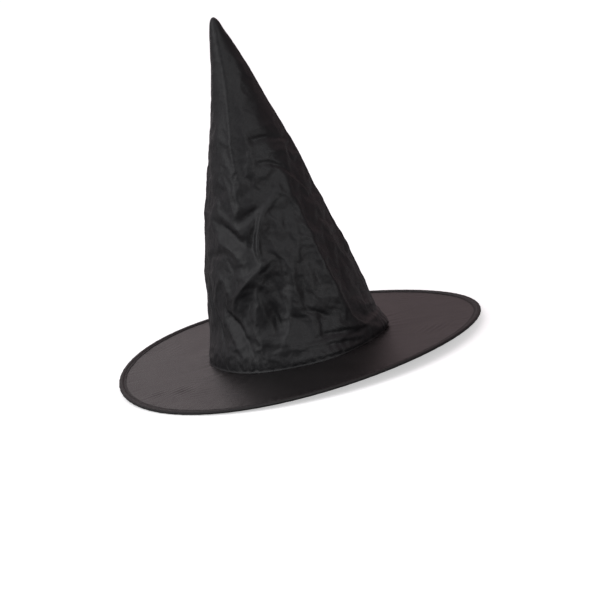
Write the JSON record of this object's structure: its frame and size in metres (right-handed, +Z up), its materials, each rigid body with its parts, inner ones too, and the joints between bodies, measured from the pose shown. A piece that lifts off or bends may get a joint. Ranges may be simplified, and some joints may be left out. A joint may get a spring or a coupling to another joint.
{
  "type": "witch hat",
  "caption": "Pointed cloth witch hat: tall cone crown on a flat round brim held open by a hidden spring-steel hoop, with an inner headband that fits over an adult head.",
  "frame": {"origin": "centre of the head opening, on the plane that the brim rests on", "axes": "+Z up along the crown towards its point, -Y the front of the hat, +Y the back, where the crown's seam and the label are"},
  "size_m": [0.38, 0.38, 0.344],
  "materials": {
    "crown_cloth": "thin black polyester taffeta, crumpled, with a soft satin sheen",
    "brim_cloth": "black polyester, smooth and slightly warm, pale sheen at a low angle",
    "binding_tape": "black woven binding tape folded over the wire",
    "thread": "black polyester sewing thread",
    "spring_steel": "plain drawn spring steel wire",
    "sleeve_metal": "crimped tube",
    "headband_tape": "black ribbed grosgrain tape",
    "label_satin": "blank white satin label",
    "label_thread": "white sewing thread"
  },
  "bodies": {
    "root": {"crown": "crown_cloth", "crown_seam_flaps": "crown_cloth", "crown_seam_stitches": "thread", "brim_upper_cloth": "brim_cloth", "brim_under_cloth": "brim_cloth", "brim_binding": "binding_tape", "binding_top_stitches": "thread", "binding_under_stitches": "thread", "brim_hoop_wire": "spring_steel", "hoop_joining_sleeve": "sleeve_metal", "headband": "headband_tape", "opening_stitches": "thread", "care_label": "label_satin", "label_stitches": "label_thread"}
  },
  "joints": []
}
